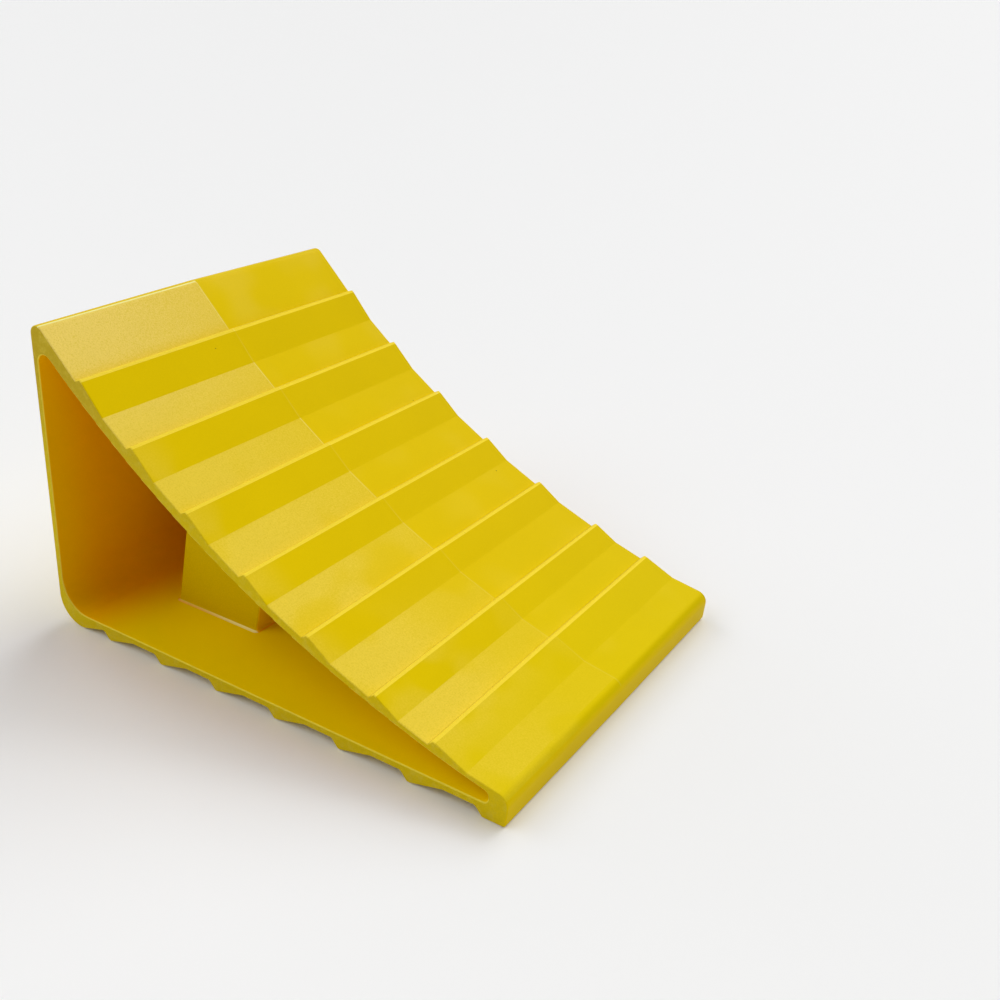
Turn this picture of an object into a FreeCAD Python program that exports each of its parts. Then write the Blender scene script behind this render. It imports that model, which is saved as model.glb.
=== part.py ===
"""Wheel chock, moulded in one shot in yellow plastic, open through both sides.

Frame: +X from the heel wall to the toe, +Y across the width, +Z up, millimetres.
The chock stands on the tips of its sole teeth at Z = 0.  The origin is under the
centre of its bounding box.

The mould parts along the plane Y = 0, so each half of the outside has draft towards
its own side, and the side openings and the zigzag web inside are pulled along Y too.
The moulding is modelled whole and then divided, at flat faces, into its named regions.
"""
import FreeCAD, Part
import math
import os
import Sketcher
from FreeCAD import Vector

# Driving dimensions: alias, value (mm or degrees), meaning.
SIZES = [
    ("half_width", 72.5, "from the parting plane to each open side"),
    ("draft_angle", 0.25, "draft of the outside faces of each half"),
    ("frame_shift", 4.571, "from the profile's own X zero to the origin of the part"),
    # treads: a concave arc, seen from above the ramp
    ("tread_centre_x", 193.7, "centre of the arc that the ledge tips lie on"),
    ("tread_centre_z", 391.8, "height of that centre"),
    ("tread_radius", 389.2, "radius of that arc"),
    ("tread_depth", 2.4, "height of a ledge, near half"),
    ("tread_mismatch", 0.25, "how much lower the far half's ledges are"),
    ("first_tip_angle", 42.94, "first ledge tip, from straight down about the centre"),
    ("tip_pitch_angle", 4.41, "from one ledge to the next"),
    ("last_pitch_angle", 3.57, "from ledge 6 to ledge 7"),
    ("tip_land_angle", 0.08, "half of the flat on a ledge tip"),
    ("root_lead_angle", 0.27, "from a tip back to its root"),
    ("knee_lag_angle", 2.15, "from tip 1 down to its knee"),
    ("knee_lag_drop", 0.12, "how much less that is on each next ledge"),
    ("last_knee_lag", 1.97, "from tip 7 down to its knee"),
    # crest, heel and toe
    ("crest_corner_x", -95.0, "sharp corner of heel line and first tread"),
    ("crest_corner_z", 127.9, "height of that corner"),
    ("crest_radius", 3.7, "rounding of the crest"),
    ("heel_foot_x", -106.2, "heel line where it meets the ground"),
    ("heel_radius", 11.0, "rounding from the heel wall to the sole"),
    ("toe_top_x", 105.4, "sharp top corner of the toe"),
    ("toe_top_z", 11.2, "height of that corner"),
    ("toe_top_radius", 4.2, "rounding of the toe's top"),
    ("toe_foot_x", 104.2, "foot of the toe face"),
    ("toe_foot_radius", 1.2, "rounding of the toe's foot"),
    # sole teeth
    ("tooth_first_x", -77.2, "first tooth tip"),
    ("tooth_pitch", 28.9, "from one tooth to the next"),
    ("tooth_depth", 3.3, "height of a tooth"),
    ("tooth_root_run", 3.2, "from a tip back to its root"),
    ("tooth_knee_run", 13.6, "from a tip on to its knee"),
    ("tooth_land", 0.6, "half of the flat on a tooth tip"),
    ("tooth_root_radius", 1.4, "fillet at a tooth's root"),
    ("foot_start_x", -93.0, "where the heel foot starts to rise"),
    # side opening
    ("floor_z", 6.0, "top of the sole plate"),
    ("inner_heel_x", -103.2, "inside of the heel wall at the floor"),
    ("inner_heel_angle", 84.95, "slope of the inside of the heel wall"),
    ("inner_arc_x", 186.0, "centre of the ramp's underside arc"),
    ("inner_arc_z", 392.1, "height of that centre"),
    ("inner_arc_radius", 391.8, "radius of the ramp's underside"),
    ("slot_end_x", 97.9, "end of the opening in the toe"),
    ("slot_radius", 2.1, "rounding of that end"),
    ("inner_top_radius", 3.9, "rounding under the crest"),
    ("inner_heel_radius", 12.0, "rounding from the floor to the heel wall"),
    # zigzag web
    ("web_face_y", 42.5, "web panels' outer faces, from the parting plane"),
    ("web_thickness", 2.4, "web panels and cross ribs"),
    ("web_lean", 14.5, "lean of the cross ribs towards the toe"),
    ("rib_heel_x", -69.6, "heel cross rib at floor height"),
    ("rib_mid_x", -29.6, "middle cross rib at floor height"),
    ("rib_toe_x", 35.2, "toe cross rib at floor height"),
    ("block_corner_radius", 3.0, "rounding of the far block's heel corner"),
    ("web_corner_radius", 0.8, "rounding of the other block corners"),
    ("web_fillet", 1.2, "fillet where the web meets floor and ramp"),
    ("rib_zone", 6.0, "half of the length that is counted as a cross rib"),
    # where the moulding is divided into regions
    ("sole_start_x", -87.0, "heel corner meets sole plate"),
    ("ramp_start_x", -79.0, "crest meets ramp plate"),
    ("toe_start_x", 93.0, "sole plate meets toe nose"),
    ("toe_cut_angle", 13.7, "ramp plate meets toe nose, from straight down about the arc centre"),
    ("heel_wall_low_z", 20.0, "heel corner meets heel wall"),
    ("heel_wall_high_z", 103.0, "heel wall meets crest"),
    ("slot_middle_z", 8.4, "between ramp underside and floor at the toe"),
    # small roundings
    ("ledge_tip_radius", 0.4, "ledge tips"),
    ("outline_edge_radius", 0.4, "edges between the outside and the open sides"),
    ("opening_edge_radius", 0.6, "edges between the opening and the open sides"),
    # bosses on the far block's face
    ("boss_radius", 1.7, "domed boss"),
    ("boss_height", 1.1, "how far a boss stands off the face"),
    ("boss_front_x", 19.5, "front pair of bosses"),
    ("boss_rear_x", -7.7, "rear pair of bosses"),
    ("boss_low_z", 15.2, "lower two bosses"),
    ("boss_high_z", 26.7, "upper two bosses"),
    ("ring_radius", 3.7, "low ring around the upper rear boss"),
    ("ring_section", 0.5, "radius of the ring's round section"),
    # pull lug on the heel wall
    ("lug_thickness", 5.0, "across the width"),
    ("lug_radius", 10.3, "of the rounded end"),
    ("lug_z", 23.4, "height of its centre"),
    ("lug_centre_x", -104.2, "centre of the rounded end"),
    ("lug_hole_radius", 3.5, "cord hole"),
    ("lug_hole_x", -109.2, "centre of the cord hole"),
    ("lug_edge_radius", 0.5, "rounding of the lug's rim"),
]
TREADS = 7
TEETH = 7

doc = FreeCAD.newDocument("wheel_chock")
sheet = doc.addObject("Spreadsheet::Sheet", "sizes")
for row, (alias, value, meaning) in enumerate(SIZES, start=1):
    sheet.set(f"A{row}", alias)
    sheet.set(f"B{row}", str(value))
    sheet.setAlias(f"B{row}", alias)
    sheet.set(f"C{row}", meaning)
doc.recompute()


def size(formula):
    """The value of a formula whose names are aliases of the sheet, as in sizes.floor_z."""
    return float(sheet.evalExpression(formula))


# ---------------------------------------------------------------- sketches and pads

def origin_plane(body, role):
    """The origin plane of a body, such as XZ_Plane."""
    for feature in body.Origin.OriginFeatures:
        if feature.Role == role:
            return feature
    raise ValueError(role)


def new_sketch(body, name, role):
    """An empty sketch on one of the body's own origin planes."""
    sketch = body.newObject("Sketcher::SketchObject", name)
    sketch.AttachmentSupport = [(origin_plane(body, role), "")]
    sketch.MapMode = "FlatFace"
    return sketch


def bind(sketch, kind, places, formula):
    """Add a constraint and bind its value to a formula of the sheet."""
    name = f"{kind}_{len(sketch.Constraints)}"
    index = sketch.addConstraint(Sketcher.Constraint(kind, *places, size(formula)))
    sketch.renameConstraint(index, name)
    sketch.setExpression(f"Constraints.{name}", formula)


def polygon_sketch(body, name, role, points):
    """A closed polygon; each point is a pair of formulas of the sheet."""
    sketch = new_sketch(body, name, role)
    corners = [Vector(size(across), size(up), 0) for across, up in points]
    for start, end in zip(corners, corners[1:] + corners[:1]):
        sketch.addGeometry(Part.LineSegment(start, end), False)
    for line in range(len(corners)):
        sketch.addConstraint(Sketcher.Constraint("Coincident", line, 2, (line + 1) % len(corners), 1))
    for line, (across, up) in enumerate(points):
        bind(sketch, "DistanceX", (-1, 1, line, 1), across)
        bind(sketch, "DistanceY", (-1, 1, line, 1), up)
    return sketch


def add_pad(body, sketch, length, midplane=False, reverse=False):
    """Pad a sketch by a length formula."""
    pad = body.newObject("PartDesign::Pad", "pad")
    pad.Profile = sketch
    pad.Midplane = midplane
    pad.Reversed = reverse
    pad.setExpression("Length", length)
    doc.recompute()
    return pad


def edges_along_y(feature, places):
    """Names of the edges that run across the width through the given (x, z) places."""
    names = []
    for number, edge in enumerate(feature.Shape.Edges, start=1):
        ends = [vertex.Point for vertex in edge.Vertexes]
        if len(ends) < 2 or abs(ends[0].y - ends[1].y) < size("sizes.half_width") / 2:
            continue
        middle = (ends[0] + ends[1]) / 2
        if any(math.hypot(middle.x - x, middle.z - z) < 1.0 for x, z in places):
            names.append(f"Edge{number}")
    if len(names) != len(places):
        raise ValueError(f"{feature.Label}: {len(names)} edges found at {len(places)} places")
    return names


def add_fillet(body, feature, names, radius):
    """Round the named edges by a radius formula."""
    fillet = body.newObject("PartDesign::Fillet", "fillet")
    fillet.Base = (feature, names)
    fillet.setExpression("Radius", radius)
    doc.recompute()
    if fillet.Shape.isNull():
        raise ValueError(f"{body.Label}: fillet {radius} failed")
    return fillet


# ---------------------------------------------------------------- outside of the moulding

def on_tread_arc(angle, depth):
    """A point at a depth below the ledge tips' arc, at an angle from straight down."""
    radius = f"(sizes.tread_radius + {depth})"
    return (
        f"sizes.tread_centre_x - {radius} * sin({angle})",
        f"sizes.tread_centre_z - {radius} * cos({angle})",
    )


def tip_angle(tread):
    """Angle formula of a ledge tip; the last ledge has a pitch of its own."""
    if tread < TREADS - 1:
        return f"(sizes.first_tip_angle - {tread} * sizes.tip_pitch_angle)"
    return (f"(sizes.first_tip_angle - {TREADS - 2} * sizes.tip_pitch_angle"
            " - sizes.last_pitch_angle)")


def tread_root(tread):
    return on_tread_arc(f"{tip_angle(tread)} + sizes.root_lead_angle", "sizes.tread_depth")


def tread_points(tip_depth):
    """Root, tip flat and knee of each ledge, from the crest to the toe."""
    points = []
    for tread in range(TREADS):
        tip = tip_angle(tread)
        lag = f"sizes.knee_lag_angle - {tread} * sizes.knee_lag_drop"
        if tread == TREADS - 1:
            lag = "sizes.last_knee_lag"
        points.append(tread_root(tread))
        points.append(on_tread_arc(f"{tip} + sizes.tip_land_angle", tip_depth))
        points.append(on_tread_arc(f"{tip} - sizes.tip_land_angle", tip_depth))
        points.append(on_tread_arc(f"{tip} - ({lag})", "sizes.tread_depth"))
    return points


def tooth_root(tooth):
    tip = f"sizes.tooth_first_x + {tooth} * sizes.tooth_pitch"
    return (f"{tip} - sizes.tooth_root_run", "sizes.tooth_depth")


def sole_points():
    """Underside, from the toe to the heel foot."""
    points = []
    for tooth in reversed(range(TEETH)):
        tip = f"sizes.tooth_first_x + {tooth} * sizes.tooth_pitch"
        if tooth < TEETH - 1:
            points.append((f"{tip} + sizes.tooth_knee_run", "sizes.tooth_depth"))
            points.append((f"{tip} + sizes.tooth_land", "0"))
        points.append((f"{tip} - sizes.tooth_land", "0"))
        points.append(tooth_root(tooth))
    points.append(("sizes.foot_start_x", "0"))
    return points


HEEL_FOOT = ("sizes.heel_foot_x", "0")
CREST = ("sizes.crest_corner_x", "sizes.crest_corner_z")
TOE_TOP = ("sizes.toe_top_x", "sizes.toe_top_z")
TOE_FOOT = ("sizes.toe_foot_x", "0")


def place(point):
    return (size(point[0]), size(point[1]))


def half_solid(name, reverse, tip_depth):
    """Half of the outside, from the parting plane to one open side, with its draft."""
    body = doc.addObject("PartDesign::Body", name)
    points = [HEEL_FOOT, CREST] + tread_points(tip_depth) + [TOE_TOP, TOE_FOOT] + sole_points()
    outline = polygon_sketch(body, f"{name}_outline", "XZ_Plane", points)
    pad = add_pad(body, outline, "sizes.half_width", reverse=reverse)

    # the sole stays flat across the width; every other outside face has draft
    side = []
    drafted = []
    for number, face in enumerate(pad.Shape.Faces, start=1):
        across = abs(face.normalAt(0, 0).y) > 0.5
        if across and abs(face.CenterOfMass.y) > 1:
            side.append(f"Face{number}")
        elif not across and face.CenterOfMass.z > 5:
            drafted.append(f"Face{number}")
    draft = body.newObject("PartDesign::Draft", "draft")
    draft.Base = (pad, drafted)
    draft.NeutralPlane = (pad, side)
    draft.Reversed = not reverse
    draft.setExpression("Angle", "sizes.draft_angle")
    doc.recompute()
    draft.touch()  # the first recompute only sets the angle
    doc.recompute()
    if draft.Shape.Volume <= pad.Shape.Volume:
        raise ValueError(f"{name}: the draft has to add material at the parting plane")

    last = draft
    rounds = [
        ([place(HEEL_FOOT)], "sizes.heel_radius"),
        ([place(CREST)], "sizes.crest_radius"),
        ([place(TOE_TOP)], "sizes.toe_top_radius"),
        ([place(TOE_FOOT)], "sizes.toe_foot_radius"),
        ([place(tooth_root(tooth)) for tooth in range(TEETH)], "sizes.tooth_root_radius"),
    ]
    for places, radius in rounds:
        last = add_fillet(body, last, edges_along_y(last, places), radius)
    return body


near_half = half_solid("near_half", False, "0")
far_half = half_solid("far_half", True, "sizes.tread_mismatch")


# ---------------------------------------------------------------- the opening through it

def opening_solid():
    """The side opening: floor, heel wall, ramp underside and the narrow end in the toe."""
    body = doc.addObject("PartDesign::Body", "side_opening")
    sketch = new_sketch(body, "opening_outline", "XZ_Plane")
    floor = size("sizes.floor_z")
    heel = Vector(size("sizes.inner_heel_x"), floor, 0)
    end = size("sizes.slot_end_x")
    centre = Vector(size("sizes.inner_arc_x"), size("sizes.inner_arc_z"), 0)
    radius = size("sizes.inner_arc_radius")
    slope = math.radians(size("sizes.inner_heel_angle"))
    top = heel + Vector(math.cos(slope), math.sin(slope), 0) * (size("sizes.crest_corner_z") - 2 * floor)
    toe = Vector(end, centre.y - math.sqrt(radius ** 2 - (centre.x - end) ** 2), 0)
    from_angle = math.atan2(top.y - centre.y, top.x - centre.x)
    to_angle = math.atan2(toe.y - centre.y, toe.x - centre.x)
    circle = Part.Circle(centre, Vector(0, 0, 1), radius)
    sketch.addGeometry(Part.LineSegment(heel, top), False)
    sketch.addGeometry(Part.ArcOfCircle(circle, from_angle, to_angle), False)
    sketch.addGeometry(Part.LineSegment(toe, Vector(end, floor, 0)), False)
    sketch.addGeometry(Part.LineSegment(Vector(end, floor, 0), heel), False)
    heel_line, underside, end_line, floor_line = range(4)
    sketch.addConstraint(Sketcher.Constraint("Coincident", heel_line, 2, underside, 1))
    sketch.addConstraint(Sketcher.Constraint("Coincident", underside, 2, end_line, 1))
    sketch.addConstraint(Sketcher.Constraint("Coincident", end_line, 2, floor_line, 1))
    sketch.addConstraint(Sketcher.Constraint("Coincident", floor_line, 2, heel_line, 1))
    sketch.addConstraint(Sketcher.Constraint("Horizontal", floor_line))
    sketch.addConstraint(Sketcher.Constraint("Vertical", end_line))
    bind(sketch, "DistanceX", (-1, 1, underside, 3), "sizes.inner_arc_x")
    bind(sketch, "DistanceY", (-1, 1, underside, 3), "sizes.inner_arc_z")
    bind(sketch, "Radius", (underside,), "sizes.inner_arc_radius")
    bind(sketch, "DistanceX", (-1, 1, heel_line, 1), "sizes.inner_heel_x")
    bind(sketch, "DistanceY", (-1, 1, heel_line, 1), "sizes.floor_z")
    bind(sketch, "DistanceX", (-1, 1, end_line, 2), "sizes.slot_end_x")
    name = "heel_slope"
    index = sketch.addConstraint(Sketcher.Constraint("Angle", heel_line, slope))
    sketch.renameConstraint(index, name)
    sketch.setExpression(f"Constraints.{name}", "sizes.inner_heel_angle * 1 deg")
    doc.recompute()
    pad = add_pad(body, sketch, "2 * sizes.half_width + 10", midplane=True)

    corners = [(line.StartPoint.x, line.StartPoint.y) for line in sketch.Geometry]
    last = pad
    rounds = [
        ([corners[heel_line]], "sizes.inner_heel_radius"),
        ([corners[underside]], "sizes.inner_top_radius"),
        ([corners[end_line], corners[floor_line]], "sizes.slot_radius"),
    ]
    for places, rounding in rounds:
        last = add_fillet(body, last, edges_along_y(last, places), rounding)
    return body


opening = opening_solid()


def boolean(kind, name, base, tool):
    """Part::Cut, Part::Common or Part::Fuse of two objects."""
    result = doc.addObject(kind, name)
    result.Base = base
    result.Tool = tool
    doc.recompute()
    return result


outside = boolean("Part::Fuse", "outside", near_half, far_half)
shell = boolean("Part::Cut", "shell", outside, opening)


# ---------------------------------------------------------------- zigzag web in the opening

LEAN = "tan(sizes.web_lean)"
WEB_HEIGHT = "sizes.crest_corner_z"


def at_ground(floor_formula):
    """Where a leaning face that is at the given X at floor height meets Z = 0."""
    return f"{floor_formula} - sizes.floor_z * {LEAN}"


def leaning_pad(name, points):
    """A plan outline at Z = 0, padded up along the lean of the cross ribs."""
    body = doc.addObject("PartDesign::Body", name)
    sketch = polygon_sketch(body, f"{name}_plan", "XY_Plane", points)
    pad = body.newObject("PartDesign::Pad", "pad")
    pad.Profile = sketch
    pad.UseCustomVector = True
    pad.Direction = Vector(size(LEAN), 0, 1)
    pad.AlongSketchNormal = True
    pad.setExpression("Direction.x", LEAN)
    pad.setExpression("Length", WEB_HEIGHT)
    doc.recompute()
    return body


def web_plan():
    """Plan of the zigzag: its left side from heel to toe, then its right side back."""
    half = "sizes.web_thickness / 2"
    out = "sizes.web_face_y"
    inn = "sizes.web_face_y - sizes.web_thickness"
    ribs = ["sizes.rib_heel_x", "sizes.rib_mid_x", "sizes.rib_toe_x"]
    left = [("-2 * sizes.half_width", out)]
    right = [("-2 * sizes.half_width", inn)]
    for number, rib in enumerate(ribs):
        heelward = at_ground(f"{rib} - {half}")
        toeward = at_ground(f"{rib} + {half}")
        if number % 2 == 0:  # from the far panels to the near ones
            left += [(toeward, out), (toeward, f"-({inn})")]
            right += [(heelward, inn), (heelward, f"-({out})")]
        else:
            left += [(heelward, f"-({inn})"), (heelward, out)]
            right += [(toeward, f"-({out})"), (toeward, inn)]
    left.append(("2 * sizes.half_width", f"-({inn})"))
    right.append(("2 * sizes.half_width", f"-({out})"))
    return left + right[::-1]


def leaning_edges(feature, places):
    """Names of the leaning edges that start from the given (x, y) places at Z = 0."""
    names = []
    for x, y in places:
        for number, edge in enumerate(feature.Shape.Edges, start=1):
            ends = sorted((vertex.Point for vertex in edge.Vertexes), key=lambda point: point.z)
            if ends[-1].z - ends[0].z > 50 and math.hypot(ends[0].x - x, ends[0].y - y) < 0.5:
                names.append(f"Edge{number}")
    if len(names) != len(places):
        raise ValueError(f"{feature.Label}: {len(names)} edges found at {len(places)} places")
    return names


def web_solid():
    """The whole zigzag, with its outer corners rounded, before it is trimmed."""
    body = leaning_pad("web_band", web_plan())
    half = "sizes.web_thickness / 2"
    face = size("sizes.web_face_y")
    soft = [(size(at_ground(f"sizes.rib_mid_x - {half}")), face)]
    crisp = [
        (size(at_ground(f"sizes.rib_heel_x + {half}")), face),
        (size(at_ground(f"sizes.rib_toe_x + {half}")), face),
        (size(at_ground(f"sizes.rib_heel_x - {half}")), -face),
        (size(at_ground(f"sizes.rib_mid_x + {half}")), -face),
        (size(at_ground(f"sizes.rib_toe_x - {half}")), -face),
    ]
    last = body.Tip
    last = add_fillet(body, last, leaning_edges(last, soft), "sizes.block_corner_radius")
    add_fillet(body, last, leaning_edges(last, crisp), "sizes.web_corner_radius")
    return body


web_band = web_solid()
plain_web = boolean("Part::Common", "plain_web", web_band, opening)
sharp_moulding = boolean("Part::Fuse", "sharp_moulding", shell, plain_web)


# ---------------------------------------------------------------- small roundings

def middle_of(edge):
    return edge.valueAt((edge.FirstParameter + edge.LastParameter) / 2)


def is_on(shape, point):
    return shape.distToShape(Part.Vertex(point))[0] < 1e-3


def rounded_edges(shape):
    """Edge number and radius, twice, of each edge of the moulding that is rounded."""
    half_width = size("sizes.half_width")
    tips = []
    for tread in range(TREADS):
        for sign in "+-":
            angle = f"{tip_angle(tread)} {sign} sizes.tip_land_angle"
            tips.append(place(on_tread_arc(angle, "sizes.tread_mismatch / 2")))
    rounded = []
    for number, edge in enumerate(shape.Edges, start=1):
        ends = [edge.valueAt(edge.FirstParameter), edge.valueAt(edge.LastParameter)]
        middle = middle_of(edge)
        radius = None
        if all(abs(abs(end.y) - half_width) < 1e-3 for end in ends):
            radius = size("sizes.opening_edge_radius" if is_on(opening.Shape, middle)
                          else "sizes.outline_edge_radius")
        elif is_on(plain_web.Shape, middle) and is_on(shell.Shape, middle):
            radius = size("sizes.web_fillet")
        elif abs(ends[0].y - ends[1].y) > half_width / 2:
            if any(math.hypot(middle.x - x, middle.z - z) < 0.5 for x, z in tips):
                radius = size("sizes.ledge_tip_radius")
        if radius:
            rounded.append((number, radius, radius))
    return rounded


moulding = doc.addObject("Part::Fillet", "moulding")
moulding.Base = sharp_moulding
moulding.Edges = rounded_edges(sharp_moulding.Shape)
doc.recompute()


# ---------------------------------------------------------------- bosses, ring and lug

def dome(name, x_formula, z_formula):
    """A domed boss: the cap of a sphere on the far block's face."""
    ball = doc.addObject("Part::Sphere", name)
    ball_radius = "((sizes.boss_radius ^ 2 + sizes.boss_height ^ 2) / (2 * sizes.boss_height))"
    sunk = f"({ball_radius} - sizes.boss_height)"
    ball.setExpression("Radius", ball_radius)
    ball.setExpression("Angle1", f"asin({sunk} / {ball_radius})")
    ball.Placement = FreeCAD.Placement(Vector(0, 0, 0), FreeCAD.Rotation(Vector(1, 0, 0), -90))
    ball.setExpression("Placement.Base.x", f"{x_formula} + sizes.frame_shift")
    ball.setExpression("Placement.Base.y", f"sizes.web_face_y - {sunk}")
    ball.setExpression("Placement.Base.z", z_formula)
    return ball


domes = [
    dome(f"dome_{row}_{column}", f"sizes.boss_{column}_x", f"sizes.boss_{row}_z")
    for row in ("low", "high") for column in ("front", "rear")
]
face_bosses = doc.addObject("Part::Compound", "face_bosses")
face_bosses.Links = domes

ring = doc.addObject("Part::Torus", "ring")
ring.setExpression("Radius1", "sizes.ring_radius")
ring.setExpression("Radius2", "sizes.ring_section")
ring.Placement = FreeCAD.Placement(Vector(0, 0, 0), FreeCAD.Rotation(Vector(1, 0, 0), -90))
ring.setExpression("Placement.Base.x", "sizes.boss_rear_x")
ring.setExpression("Placement.Base.y", "sizes.web_face_y")
ring.setExpression("Placement.Base.z", "sizes.boss_high_z")


def lug_solid():
    """The D-shaped lug on the heel wall, before the wall is cut out of it."""
    body = doc.addObject("PartDesign::Body", "lug_blank")
    sketch = new_sketch(body, "lug_outline", "XZ_Plane")
    centre = Vector(size("sizes.lug_centre_x"), size("sizes.lug_z"), 0)
    radius = size("sizes.lug_radius")
    inside = centre.x + size("sizes.web_thickness")
    up = Vector(0, radius, 0)
    circle = Part.Circle(centre, Vector(0, 0, 1), radius)
    sketch.addGeometry(Part.ArcOfCircle(circle, math.pi / 2, 3 * math.pi / 2), False)
    corners = [centre - up, Vector(inside, centre.y - radius, 0),
               Vector(inside, centre.y + radius, 0), centre + up]
    for start, end in zip(corners, corners[1:]):
        sketch.addGeometry(Part.LineSegment(start, end), False)
    sketch.addConstraint(Sketcher.Constraint("Tangent", 0, 2, 1, 1))
    sketch.addConstraint(Sketcher.Constraint("Coincident", 1, 2, 2, 1))
    sketch.addConstraint(Sketcher.Constraint("Coincident", 2, 2, 3, 1))
    sketch.addConstraint(Sketcher.Constraint("Tangent", 3, 2, 0, 1))
    sketch.addConstraint(Sketcher.Constraint("Horizontal", 1))
    sketch.addConstraint(Sketcher.Constraint("Horizontal", 3))
    bind(sketch, "DistanceX", (-1, 1, 0, 3), "sizes.lug_centre_x")
    bind(sketch, "DistanceY", (-1, 1, 0, 3), "sizes.lug_z")
    bind(sketch, "Radius", (0,), "sizes.lug_radius")
    bind(sketch, "DistanceX", (0, 3, 2, 1), "sizes.web_thickness")
    sketch.addGeometry(Part.Circle(Vector(size("sizes.lug_hole_x"), centre.y, 0), Vector(0, 0, 1),
                                   size("sizes.lug_hole_radius")), False)
    bind(sketch, "DistanceX", (-1, 1, 4, 3), "sizes.lug_hole_x")
    bind(sketch, "DistanceY", (-1, 1, 4, 3), "sizes.lug_z")
    bind(sketch, "Radius", (4,), "sizes.lug_hole_radius")
    pad = add_pad(body, sketch, "sizes.lug_thickness", midplane=True)
    rim = []
    for number, edge in enumerate(pad.Shape.Edges, start=1):
        on_side = abs(abs(middle_of(edge).y) - size("sizes.lug_thickness") / 2) < 1e-3
        if on_side and edge.BoundBox.XMin < size("sizes.lug_centre_x") - 1:
            rim.append(f"Edge{number}")
    add_fillet(body, pad, rim, "sizes.lug_edge_radius")
    return body


lug_blank = lug_solid()


# ---------------------------------------------------------------- named regions

def place_in_frame(part):
    """Move a finished region into the part's frame."""
    part.setExpression("Placement.Base.x", "sizes.frame_shift")
    return part


BEYOND_HEEL = "-2 * sizes.half_width"
BEYOND_TOE = "2 * sizes.half_width"
ABOVE = "2 * sizes.half_width"
BELOW = "-10"


def rectangle(x_range, z_range):
    """Corners of a rectangle, as (x, z) formulas."""
    return [(x_range[0], z_range[0]), (x_range[1], z_range[0]),
            (x_range[1], z_range[1]), (x_range[0], z_range[1])]


def toe_cut(height):
    """A point of the plane between ramp and toe, which is square to the ramp's underside."""
    return (f"sizes.inner_arc_x - (sizes.inner_arc_z - {height}) * tan(sizes.toe_cut_angle)", height)


SHELL_REGIONS = {
    "heel_corner": rectangle((BEYOND_HEEL, "sizes.sole_start_x"), (BELOW, "sizes.heel_wall_low_z")),
    "heel_wall": rectangle((BEYOND_HEEL, "sizes.ramp_start_x"),
                           ("sizes.heel_wall_low_z", "sizes.heel_wall_high_z")),
    "crest": rectangle((BEYOND_HEEL, "sizes.ramp_start_x"), ("sizes.heel_wall_high_z", ABOVE)),
    "ramp_plate": [("sizes.ramp_start_x", "sizes.slot_middle_z"), toe_cut("sizes.slot_middle_z"),
                   toe_cut(ABOVE), ("sizes.ramp_start_x", ABOVE)],
    "sole_plate": rectangle(("sizes.sole_start_x", "sizes.toe_start_x"), (BELOW, "sizes.slot_middle_z")),
    "toe_nose": [("sizes.toe_start_x", BELOW), ("sizes.toe_start_x", "sizes.slot_middle_z"),
                 toe_cut("sizes.slot_middle_z"), toe_cut(ABOVE), (BEYOND_TOE, ABOVE), (BEYOND_TOE, BELOW)],
}
WEB_REGIONS = [
    ("heel_web_panel", BEYOND_HEEL, "sizes.rib_heel_x - sizes.rib_zone"),
    ("heel_cross_rib", "sizes.rib_heel_x - sizes.rib_zone", "sizes.rib_heel_x + sizes.rib_zone"),
    ("near_web_panel", "sizes.rib_heel_x + sizes.rib_zone", "sizes.rib_mid_x - sizes.rib_zone"),
    ("middle_cross_rib", "sizes.rib_mid_x - sizes.rib_zone", "sizes.rib_mid_x + sizes.rib_zone"),
    ("far_web_panel", "sizes.rib_mid_x + sizes.rib_zone", "sizes.rib_toe_x - sizes.rib_zone"),
    ("toe_cross_rib", "sizes.rib_toe_x - sizes.rib_zone", "sizes.rib_toe_x + sizes.rib_zone"),
    ("toe_web_panel", "sizes.rib_toe_x + sizes.rib_zone", BEYOND_TOE),
]

rounded_shell = boolean("Part::Cut", "rounded_shell", moulding, opening)
rounded_web = boolean("Part::Common", "rounded_web", moulding, opening)
nodes = []
for name, corners in SHELL_REGIONS.items():
    limits = doc.addObject("PartDesign::Body", f"{name}_limits")
    outline = polygon_sketch(limits, f"{name}_corners", "XZ_Plane", corners)
    add_pad(limits, outline, "4 * sizes.half_width", midplane=True)
    nodes.append(boolean("Part::Common", name, rounded_shell, limits))
for name, low, high in WEB_REGIONS:
    low, high = at_ground(low), at_ground(high)
    edge = "2 * sizes.half_width"
    limits = leaning_pad(f"{name}_limits", [(low, f"-{edge}"), (high, f"-{edge}"), (high, edge), (low, edge)])
    nodes.append(boolean("Part::Common", name, rounded_web, limits))
nodes.append(boolean("Part::Cut", "boss_ring", ring, moulding))
nodes.append(boolean("Part::Cut", "pull_lug", lug_blank, outside))
for node in nodes:
    place_in_frame(node)
nodes.append(face_bosses)
doc.recompute()


# ---------------------------------------------------------------- checks and files

for item in doc.Objects:
    if "Invalid" in item.State or "Error" in item.State:
        raise ValueError(f"{item.Label} did not recompute: {item.State}")
whole = sum(node.Shape.Volume for node in nodes[:len(SHELL_REGIONS) + len(WEB_REGIONS)])
if abs(whole - moulding.Shape.Volume) > 1e-3 * moulding.Shape.Volume:
    raise ValueError(f"the regions hold {whole:.0f} of {moulding.Shape.Volume:.0f} cubic mm")

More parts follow.
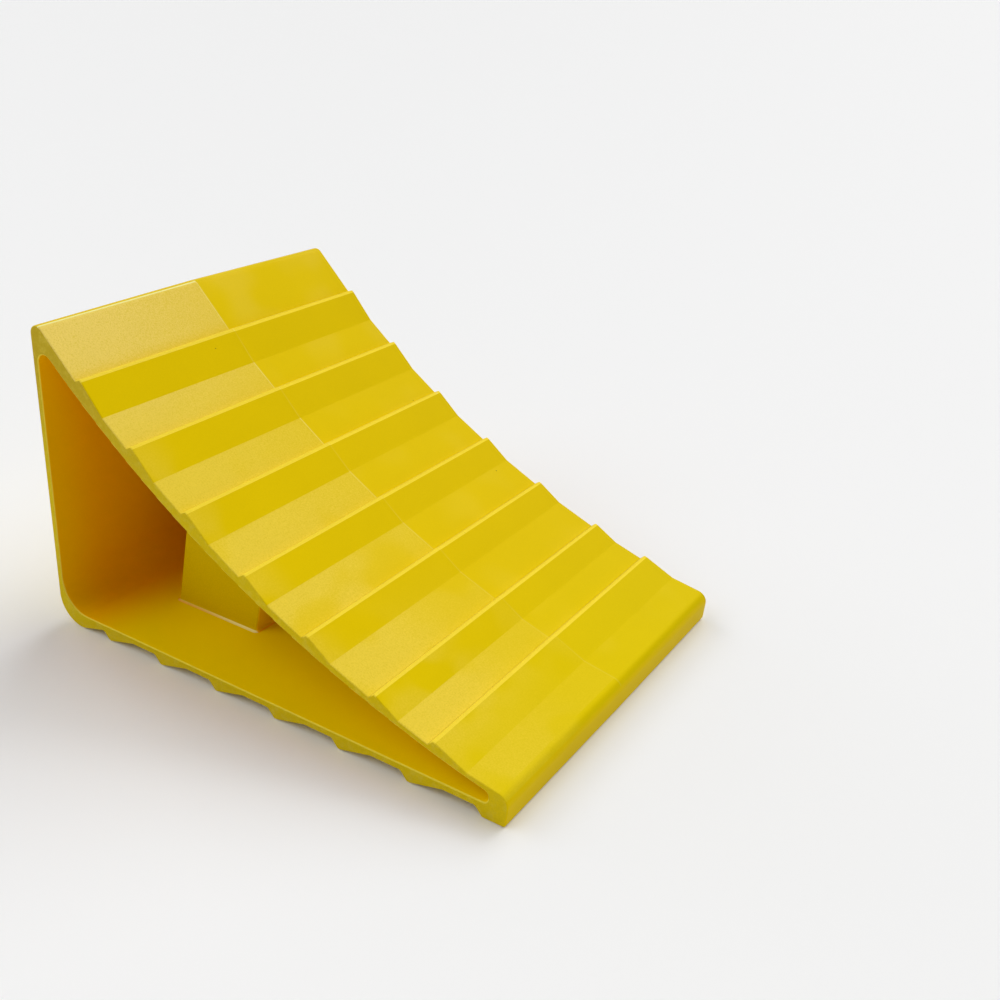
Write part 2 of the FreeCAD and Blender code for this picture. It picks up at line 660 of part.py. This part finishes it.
os.makedirs("parts", exist_ok=True)
for node in nodes:
    if node.Shape.isNull() or not node.Shape.isValid():
        raise ValueError(f"{node.Label} has no valid shape")
    node.Shape.exportStep(f"parts/{node.Label}.step")
    limits = node.Shape.BoundBox
    print(f"{node.Label:18s} solids {len(node.Shape.Solids)} volume {node.Shape.Volume:9.1f}"
          f" x {limits.XMin:8.2f} {limits.XMax:8.2f} y {limits.YMin:7.2f} {limits.YMax:7.2f}"
          f" z {limits.ZMin:7.2f} {limits.ZMax:7.2f}")
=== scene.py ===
"""Studio look of the wheel chock: one yellow moulding on a plain pale floor."""

import math

import bpy
from mathutils import Matrix, Vector

MM = 0.001

# Places on the part, in millimetres in the part's frame, that the finish follows.
SHIFT = 4.571  # from the profile's own X zero
TIP_ARC = (193.7 + SHIFT, 391.8, 389.2)  # centre x, centre z and radius of the ledge tips' arc
UNDER_ARC = (186.0 + SHIFT, 392.1, 391.8)  # the same for the ramp's underside
CREST_LINE = -86.6  # where the crest's round meets the treads
LAST_LEDGE = 82.4  # tip of the ledge nearest the toe
SLOT_END = 97.9 + SHIFT  # toe end of the opening
HEEL_INSIDE = -103.2 + SHIFT  # inside of the heel wall at floor height
HEEL_LEAN = math.tan(math.radians(90 - 84.95))
FLOOR_TOP = 6.0
HALF_WIDTH = 72.5
WEB_FACE = 42.5  # the web panels' outer faces, from the middle plane

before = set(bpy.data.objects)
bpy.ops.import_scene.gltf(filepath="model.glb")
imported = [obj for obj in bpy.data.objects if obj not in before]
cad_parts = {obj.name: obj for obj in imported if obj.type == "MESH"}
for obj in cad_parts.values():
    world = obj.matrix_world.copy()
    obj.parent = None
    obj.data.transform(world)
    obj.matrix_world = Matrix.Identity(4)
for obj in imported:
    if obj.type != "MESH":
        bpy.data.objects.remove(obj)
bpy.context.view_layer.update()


# ---------------------------------------------------------------- camera, light and floor

def look_at(obj, place, forward, roll=0.0):
    """Puts obj at a place, with its -Z along forward and its X level but for the roll, in degrees."""
    forward = Vector(forward).normalized()
    right = forward.cross(Vector((0, 0, 1))).normalized()
    up = right.cross(forward)
    turn = Matrix((right, up, -forward)).transposed().to_4x4() @ Matrix.Rotation(math.radians(roll), 4, "Z")
    obj.matrix_world = Matrix.Translation(Vector(place)) @ turn


def add_camera():
    """A camera in front of the near corner of the toe, above the part, with its framing's shift."""
    data = bpy.data.cameras.new("camera")
    data.sensor_width = 36.0
    data.lens = 39.88
    data.shift_x = 0.0252
    data.shift_y = -0.0272
    data.clip_start = 0.01
    data.clip_end = 100
    camera = bpy.data.objects.new("camera", data)
    bpy.context.scene.collection.objects.link(camera)
    look_at(camera, (0.2479, -0.2926, 0.2351), (-0.51441, 0.75236, -0.41151), roll=0.157)
    bpy.context.scene.camera = camera


def add_soft_sun(name, azimuth, elevation, strength, spread=45):
    """A far softbox: it stands at an azimuth from +X and an elevation, and looks spread degrees wide."""
    data = bpy.data.lights.new(name, "SUN")
    data.energy = strength
    data.angle = math.radians(spread)
    light = bpy.data.objects.new(name, data)
    bpy.context.scene.collection.objects.link(light)
    turn, rise = math.radians(azimuth), math.radians(elevation)
    place = Vector((math.cos(turn) * math.cos(rise), math.sin(turn) * math.cos(rise), math.sin(rise)))
    look_at(light, place, -place)


def add_world(light, backdrop):
    """Even light from all round, and the pale backdrop that is seen above the floor's horizon."""
    world = bpy.data.worlds.new("studio")
    world.use_nodes = True
    tree = world.node_tree
    seen = tree.nodes.new("ShaderNodeLightPath").outputs["Is Camera Ray"]
    strength = tree.nodes.new("ShaderNodeMapRange")
    tree.links.new(seen, strength.inputs["Value"])
    strength.inputs["To Min"].default_value = light
    strength.inputs["To Max"].default_value = backdrop
    background = tree.nodes["Background"]
    background.inputs["Color"].default_value = (1, 1, 1, 1)
    tree.links.new(strength.outputs["Result"], background.inputs["Strength"])
    bpy.context.scene.world = world


def add_floor():
    """A pale floor out to the horizon, a hair below the part's feet."""
    mesh = bpy.data.meshes.new("floor")
    half = 40.0
    level = -0.2 * MM
    corners = [(-half, -half, level), (half, -half, level), (half, half, level), (-half, half, level)]
    mesh.from_pydata(corners, [], [(0, 1, 2, 3)])
    floor = bpy.data.objects.new("floor", mesh)
    bpy.context.scene.collection.objects.link(floor)
    material = bpy.data.materials.new("floor")
    material.use_nodes = True
    shader = material.node_tree.nodes["Principled BSDF"]
    shader.inputs["Base Color"].default_value = (0.93, 0.93, 0.93, 1)
    shader.inputs["Roughness"].default_value = 0.8
    mesh.materials.append(material)


# ---------------------------------------------------------------- materials

class Graph:
    """A material's node tree, with one short call for each kind of node used here."""

    def __init__(self, name):
        self.material = bpy.data.materials.new(name)
        self.material.use_nodes = True
        self.tree = self.material.node_tree
        self.shader = self.tree.nodes["Principled BSDF"]
        coordinates = self.tree.nodes.new("ShaderNodeTexCoord")
        self.normal = coordinates.outputs["Normal"]
        self.place = self.vector("SCALE", coordinates.outputs["Object"], scale=1 / MM)
        split = self.tree.nodes.new("ShaderNodeSeparateXYZ")
        self.tree.links.new(self.place, split.inputs[0])
        self.x, self.y, self.z = split.outputs

    def put(self, socket, value):
        """Links a socket to another one, or sets its number."""
        if isinstance(value, bpy.types.NodeSocket):
            self.tree.links.new(value, socket)
        else:
            socket.default_value = value

    def vector(self, operation, first, second=None, scale=None):
        node = self.tree.nodes.new("ShaderNodeVectorMath")
        node.operation = operation
        self.put(node.inputs[0], first)
        if second is not None:
            self.put(node.inputs[1], second)
        if scale is not None:
            self.put(node.inputs["Scale"], scale)
        return node.outputs["Value" if operation in ("LENGTH", "DOT_PRODUCT") else "Vector"]

    def math(self, operation, first, second=0.0, third=0.0):
        node = self.tree.nodes.new("ShaderNodeMath")
        node.operation = operation
        for socket, value in zip(node.inputs, (first, second, third)):
            self.put(socket, value)
        return node.outputs[0]

    def absolute(self, value):
        return self.math("ABSOLUTE", value)

    def larger(self, first, second):
        return self.math("MAXIMUM", first, second)

    def facing(self, direction):
        """The cosine between the surface's normal and a direction."""
        return self.vector("DOT_PRODUCT", self.normal, direction)

    def step(self, value, low, high):
        """0 up to low and 1 from high on, smooth between; low may be the larger one."""
        node = self.tree.nodes.new("ShaderNodeMapRange")
        node.interpolation_type = "SMOOTHSTEP"
        self.put(node.inputs["Value"], value)
        node.inputs["From Min"].default_value = min(low, high)
        node.inputs["From Max"].default_value = max(low, high)
        node.inputs["To Min"].default_value = 0 if low < high else 1
        node.inputs["To Max"].default_value = 1 if low < high else 0
        return node.outputs["Result"]

    def all_of(self, *masks):
        """The product of masks and plain numbers."""
        total = masks[0]
        for mask in masks[1:]:
            total = self.math("MULTIPLY", total, mask)
        return total

    def fade(self, mask, start, end):
        """From start, where the mask is 0, to end, where it is 1."""
        return self.math("MULTIPLY_ADD", mask, end - start, start)

    def noise(self, size, detail=2.0, rough=0.5):
        """Noise from 0 to 1, about 0.5, with features of a size in millimetres."""
        node = self.tree.nodes.new("ShaderNodeTexNoise")
        self.tree.links.new(self.place, node.inputs["Vector"])
        node.inputs["Scale"].default_value = 1 / size
        node.inputs["Detail"].default_value = detail
        node.inputs["Roughness"].default_value = rough
        return node.outputs[0]

    def specks(self, spacing, radius, kept):
        """Round specks of a radius, in the kept share of cells of a spacing, both in millimetres."""
        node = self.tree.nodes.new("ShaderNodeTexVoronoi")
        self.tree.links.new(self.place, node.inputs["Vector"])
        node.inputs["Scale"].default_value = 1 / spacing
        draw = self.vector("DOT_PRODUCT", node.outputs["Color"], (1, 0, 0))
        rim = radius / spacing
        spots = self.step(node.outputs["Distance"], rim, 0.5 * rim)
        return self.all_of(self.step(draw, kept + 0.001, kept), spots)

    def bump(self, height, distance):
        """The normal of a relief that is height times a distance in millimetres high."""
        node = self.tree.nodes.new("ShaderNodeBump")
        self.tree.links.new(height, node.inputs["Height"])
        node.inputs["Distance"].default_value = distance * MM
        node.inputs["Strength"].default_value = 1.0
        return node.outputs["Normal"]

    def arc_vector(self, arc):
        """From a point of the surface to the arc's centre, in the XZ plane."""
        flat = self.tree.nodes.new("ShaderNodeCombineXYZ")
        self.tree.links.new(self.x, flat.inputs[0])
        self.tree.links.new(self.z, flat.inputs[2])
        return self.vector("SUBTRACT", (arc[0], 0, arc[1]), flat.outputs[0])

    def mix(self, share, first, second):
        """The first colour, with a share of the second over it."""
        node = self.tree.nodes.new("ShaderNodeMix")
        node.data_type = "RGBA"
        self.put(node.inputs["Factor"], share)
        for socket, value in zip((node.inputs[6], node.inputs[7]), (first, second)):
            self.put(socket, (*value, 1) if isinstance(value, tuple) else value)
        return node.outputs[2]


# Linear colours of the one plastic, as its outer faces show it, with a painted sheen on the haze and painted
# highlights on the ledges ...
OUTSIDE = (0.79, 0.563, 0.0)
TOE = (0.755, 0.567, 0.0)
CREST_HAZE_SHEEN = (0.93, 0.70, 0.155)
LOW_HAZE_SHEEN = (0.885, 0.662, 0.057)
PALE_HIGHLIGHT = (0.99, 0.76, 0.05)
ENDS = (0.72, 0.53, 0.006)
CREST_ENDS = (0.57, 0.405, 0.02)
MOTTLED_ENDS = (0.75, 0.60, 0.07)
# ... with the hollow's bounced light and shade painted in ...
BRIGHT_HOLLOW = (0.99, 0.78, 0.0)
DEEP_HOLLOW = (0.99, 0.49, 0.0)
WEB_FACES = (0.75, 0.53, 0.0)
TOE_RIB = (0.99, 0.66, 0.0)
# ... and with painted highlights along its rims and lines, and its own nicks and specks.
RIM_HIGHLIGHT = (0.94, 0.85, 0.13)
NICK = (0.93, 0.76, 0.20)
GLINT = (1.0, 0.92, 0.36)
SPECK = (0.25, 0.17, 0.01)

# The pieces inside the hollow.
WEB_NODES = {"heel_web_panel", "heel_cross_rib", "near_web_panel", "middle_cross_rib", "far_web_panel",
             "toe_cross_rib", "toe_web_panel", "boss_ring", "face_bosses"}


class Regions:
    """Masks of the part's regions, each from 0 to 1, in one material's graph."""

    def __init__(self, g):
        to_centre = g.arc_vector(TIP_ARC)
        outward = g.vector("NORMALIZE", to_centre)
        # How far under the ledge tips' arc the surface lies, and how much it looks up the ramp.
        depth = g.math("SUBTRACT", g.vector("LENGTH", to_centre), TIP_ARC[2])
        uphill = g.facing(g.vector("CROSS_PRODUCT", outward, (0, 1, 0)))
        rise = g.step(uphill, 0.15, 0.4)
        land = g.all_of(g.step(depth, 0.45, 0.3), g.step(uphill, -0.12, -0.06))
        looks_up = g.step(g.facing(outward), 0.1, 0.3)
        self.ramp = g.all_of(looks_up, g.step(depth, 3.2, 2.7))
        self.flats = g.all_of(self.ramp, g.step(uphill, -0.07, -0.04))
        self.ledges = g.all_of(self.ramp, g.larger(rise, land), g.step(g.x, CREST_LINE, CREST_LINE + 5))
        low_ledges = g.step(g.x, -40, 40)
        # Painted shade along the roots of the low ledges.
        self.low_root_shade = g.all_of(self.ramp, rise, g.step(depth, 1.4, 1.6), low_ledges)
        self.crest_round = g.all_of(self.ramp, g.step(g.x, CREST_LINE + 0.1, CREST_LINE - 0.1))
        self.near_half = g.step(g.y, 0.05, -0.05)
        self.far_half = g.step(g.y, -0.05, 0.05)
        self.off_middle = g.absolute(g.y)
        self.sideways = g.absolute(g.facing((0, 1, 0)))
        self.ends = g.step(self.sideways, 0.9, 0.98)
        self.hollow = self.hollow_walls(g)

    def hollow_walls(self, g):
        """1 on the walls of the hollow, and 0 on the outer faces and the edge round its mouth."""
        under = g.vector("LENGTH", g.arc_vector(UNDER_ARC))
        x_at_floor = g.math("SUBTRACT", g.x, g.all_of(g.math("SUBTRACT", g.z, FLOOR_TOP), HEEL_LEAN))
        return g.all_of(g.step(under, UNDER_ARC[2] - 0.5, UNDER_ARC[2] - 0.3),
                        g.step(g.z, FLOOR_TOP - 0.3, FLOOR_TOP - 0.1),
                        g.step(x_at_floor, HEEL_INSIDE - 0.3, HEEL_INSIDE - 0.1),
                        g.step(g.x, SLOT_END + 0.3, SLOT_END + 0.1),
                        g.step(self.off_middle, HALF_WIDTH - 0.1, HALF_WIDTH - 0.3))


def tread_haze_and_sheen(g, part):
    """The near half's treads have a haze, with a painted sheen in their colour, less so towards the middle
    and the toe, and patchy low down.

    The ledges' own slopes stay clear, but for the lowest ones and those at the near end.
    """
    patches = g.all_of(g.step(g.noise(30, detail=1), 0.5, 0.36), g.step(g.x, -80, 60))
    flats = g.all_of(part.flats, g.fade(patches, 1.0, 0.25))
    lowest = g.step(g.x, 25, 75)
    near_end = g.all_of(g.step(g.y, -55, -72), g.step(g.x, -60, -30), 0.7)
    slopes = g.all_of(g.larger(lowest, near_end), g.step(g.noise(20, detail=1), 0.36, 0.58), 0.5)
    below_crest = g.step(g.x, CREST_LINE - 0.1, CREST_LINE + 0.1)
    towards_near_end = g.fade(g.step(g.y, 10, -70), 0.55, 1.0)
    low_middle = g.all_of(g.step(g.x, 10, 35), g.step(g.y, -50, -15))
    toe = g.step(g.x, LAST_LEDGE, LAST_LEDGE + 10)
    return g.all_of(part.near_half, part.ramp, g.larger(flats, slopes), below_crest, towards_near_end,
                    g.fade(low_middle, 1.0, 0.5), g.fade(toe, 1.0, 0.4))


def heel_haze_and_sheen(g):
    """The heel wall's outer face has a haze too, with a painted sheen in its colour, more so higher up."""
    looks_back = g.step(g.facing((-1, 0, 0)), 0.9, 0.97)
    at_heel = g.step(g.x, -88, -92)
    higher_up = g.step(g.z, 10, 70)
    return g.all_of(looks_back, at_heel, higher_up, g.step(g.noise(45), 0.2, 0.6), 0.7)


def outer_colour(g, part):
    """The moulding's outer faces, with its mottled end faces."""
    low_ramp = g.all_of(part.ramp, g.step(g.x, 30, 110))
    crest_end = g.step(g.z, 60, 115)
    mottles = g.all_of(g.step(g.noise(3, detail=3, rough=0.6), 0.45, 0.75), 0.45)
    ends = g.mix(mottles, g.mix(crest_end, ENDS, CREST_ENDS), MOTTLED_ENDS)
    return g.mix(part.ends, g.mix(low_ramp, OUTSIDE, TOE), ends)


def shell_hollow_colour(g, part):
    """The hollow's own walls, with painted bounced light and shade: brightest low down away from the heel,
    and brighter near the mouths.
    """
    low_down = g.step(g.z, FLOOR_TOP + 6, FLOOR_TOP)
    off_heel = g.step(g.x, HEEL_INSIDE + 2, HEEL_INSIDE + 42)
    near_mouths = g.all_of(g.step(part.off_middle, 50, HALF_WIDTH), 0.3)
    return g.mix(g.larger(g.all_of(low_down, off_heel), near_mouths), DEEP_HOLLOW, BRIGHT_HOLLOW)


def web_hollow_colour(g, part):
    """The web with painted bounced light and shade: its panels, its ribs lighter on their toe sides, and a
    painted glint along the near panel's foot.
    """
    # Painted light: the ribs' toe sides are drawn lighter.
    toe_sides = g.step(g.facing((1, 0, 0)), 0.3, 0.7)
    panels = g.step(part.sideways, 0.5, 0.8)
    colour = g.mix(panels, g.mix(toe_sides, DEEP_HOLLOW, TOE_RIB), WEB_FACES)
    # A painted glint along the near panel's foot.
    foot = g.step(g.z, FLOOR_TOP + 0.55, FLOOR_TOP + 0.45)
    near_face = g.step(g.y, 0.2 - WEB_FACE, -0.2 - WEB_FACE)
    off_heel = g.fade(g.step(g.x, -58, -30), 0.3, 1.0)
    return g.mix(g.all_of(foot, near_face, off_heel), colour, GLINT)


def with_lines(g, part, colour):
    """Adds painted highlights on the ledges, the rims and the crest's round, and the fine lines of the
    parting and the crest: the parting a real line with a painted highlight on it, the crest line a painted
    highlight.
    """
    # A painted highlight on the ledges' lips and lands.
    colour = g.mix(g.all_of(part.ledges, 0.85), colour, PALE_HIGHLIGHT)
    side_edges = g.step(part.off_middle, HALF_WIDTH - 0.9, HALF_WIDTH - 0.6)
    rounded = g.all_of(g.step(part.sideways, 0.15, 0.35), g.step(part.sideways, 0.97, 0.9))
    off_ramp = g.math("SUBTRACT", 1.0, part.ramp)
    before_toe = g.step(g.x, SLOT_END + 6, SLOT_END + 2)
    # A painted highlight along the rounded edges round the sides.
    colour = g.mix(g.all_of(side_edges, rounded, off_ramp, before_toe, 0.45), colour, RIM_HIGHLIGHT)
    # A painted highlight along the crest's round.
    colour = g.mix(g.all_of(part.crest_round, 0.35), colour, PALE_HIGHLIGHT)
    # The parting, a real line, and the crest line both get a painted highlight.
    high_flats = g.all_of(part.flats, g.step(g.x, 70, -60))
    parting = g.all_of(part.ramp, g.step(part.off_middle, 0.3, 0.12), g.fade(high_flats, 0.08, 0.33))
    line_start = g.step(g.x, CREST_LINE - 0.1, CREST_LINE)
    line_end = g.step(g.x, CREST_LINE + 0.8, CREST_LINE + 0.4)
    crest_line = g.all_of(part.near_half, part.ramp, line_start, line_end)
    return g.mix(g.larger(parting, crest_line), colour, GLINT)


def with_marks(g, part, colour):
    """Adds pale nicks on the ledges and a few dark specks outside."""
    nicks = g.all_of(part.ledges, g.step(g.noise(4), 0.74, 0.78), 0.7)
    outside = g.math("SUBTRACT", 1.0, part.hollow)
    specks = g.all_of(g.specks(spacing=8, radius=0.38, kept=0.12), outside)
    return g.mix(specks, g.mix(nicks, colour, NICK), SPECK)


def fine_shade(g, part, grain, hazy_and_sheen):
    """Cloud and grain about 1, with more grain on haze and end faces, and painted shade at the low ledges'
    roots.
    """
    contrast = g.fade(g.larger(g.all_of(hazy_and_sheen, 0.5), part.ends), 0.09, 0.29)
    cloudy = g.fade(g.noise(32), 0.97, 1.03)
    grainy = g.all_of(g.math("SUBTRACT", grain, 0.5), contrast)
    shade = g.math("ADD", cloudy, grainy)
    return g.all_of(shade, g.fade(part.low_root_shade, 1.0, 0.7))


def set_sheen(g, part, grain, hazy_and_sheen):
    """A satin sheen: duller and grainier on the haze, and glossier in the hollow."""
    rough = g.math("MULTIPLY_ADD", part.hollow, -0.08, g.fade(hazy_and_sheen, 0.36, 0.52))
    rough = g.math("MULTIPLY_ADD", g.noise(6, detail=3, rough=0.6), 0.08, rough)
    g.put(g.shader.inputs["Roughness"], rough)
    relief = g.all_of(grain, g.fade(hazy_and_sheen, 0.3, 1.0))
    g.put(g.shader.inputs["Normal"], g.bump(relief, distance=0.08))
    # A trace of metal and almost no clear reflection keep the sheen as yellow as the plastic.
    g.shader.inputs["Metallic"].default_value = 0.06
    g.shader.inputs["Specular IOR Level"].default_value = 0.02
    g.shader.inputs["Specular Tint"].default_value = (1, 0.85, 0.1, 1)


def chock_plastic(name, hollow_colour):
    """The one plastic, with a colour for the walls of the hollow."""
    g = Graph(name)
    part = Regions(g)
    grain = g.noise(0.6, rough=0.7)
    # Where the haze lies: a duller, grainier finish, and a sheen painted into the colour.
    hazy_and_sheen = g.all_of(g.larger(tread_haze_and_sheen(g, part), heel_haze_and_sheen(g)), g.all_of(grain, 2.0))
    # A faint painted sheen in patches on the far half's flats.
    far_haze_and_sheen = g.all_of(part.far_half, part.flats, g.step(g.noise(26, detail=1), 0.45, 0.7), 0.12)
    below_crest = g.step(g.x, -90, -30)

    colour = g.mix(part.hollow, outer_colour(g, part), hollow_colour(g, part))
    # Painted sheen: the haze is drawn in a paler colour, brighter below the crest.
    colour = g.mix(g.larger(hazy_and_sheen, far_haze_and_sheen), colour, g.mix(below_crest, CREST_HAZE_SHEEN, LOW_HAZE_SHEEN))
    colour = with_marks(g, part, with_lines(g, part, colour))
    colour = g.vector("SCALE", colour, scale=fine_shade(g, part, grain, hazy_and_sheen))
    g.put(g.shader.inputs["Base Color"], colour)
    set_sheen(g, part, grain, hazy_and_sheen)
    return g.material


shell_plastic = chock_plastic("shell_plastic", shell_hollow_colour)
web_plastic = chock_plastic("web_plastic", web_hollow_colour)
for name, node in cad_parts.items():
    node.data.materials[0] = web_plastic if name in WEB_NODES else shell_plastic

add_camera()
add_world(light=0.2, backdrop=0.88)
add_soft_sun("back_light", azimuth=90, elevation=42, strength=1.05)
add_soft_sun("top_light", azimuth=45, elevation=55, strength=0.92)
add_soft_sun("near_light", azimuth=-45, elevation=25, strength=0.18)
add_soft_sun("left_light", azimuth=-130, elevation=46, strength=0.65)
add_soft_sun("heel_light", azimuth=180, elevation=30, strength=0.8)
add_floor()
bpy.context.scene.view_settings.view_transform = "Standard"
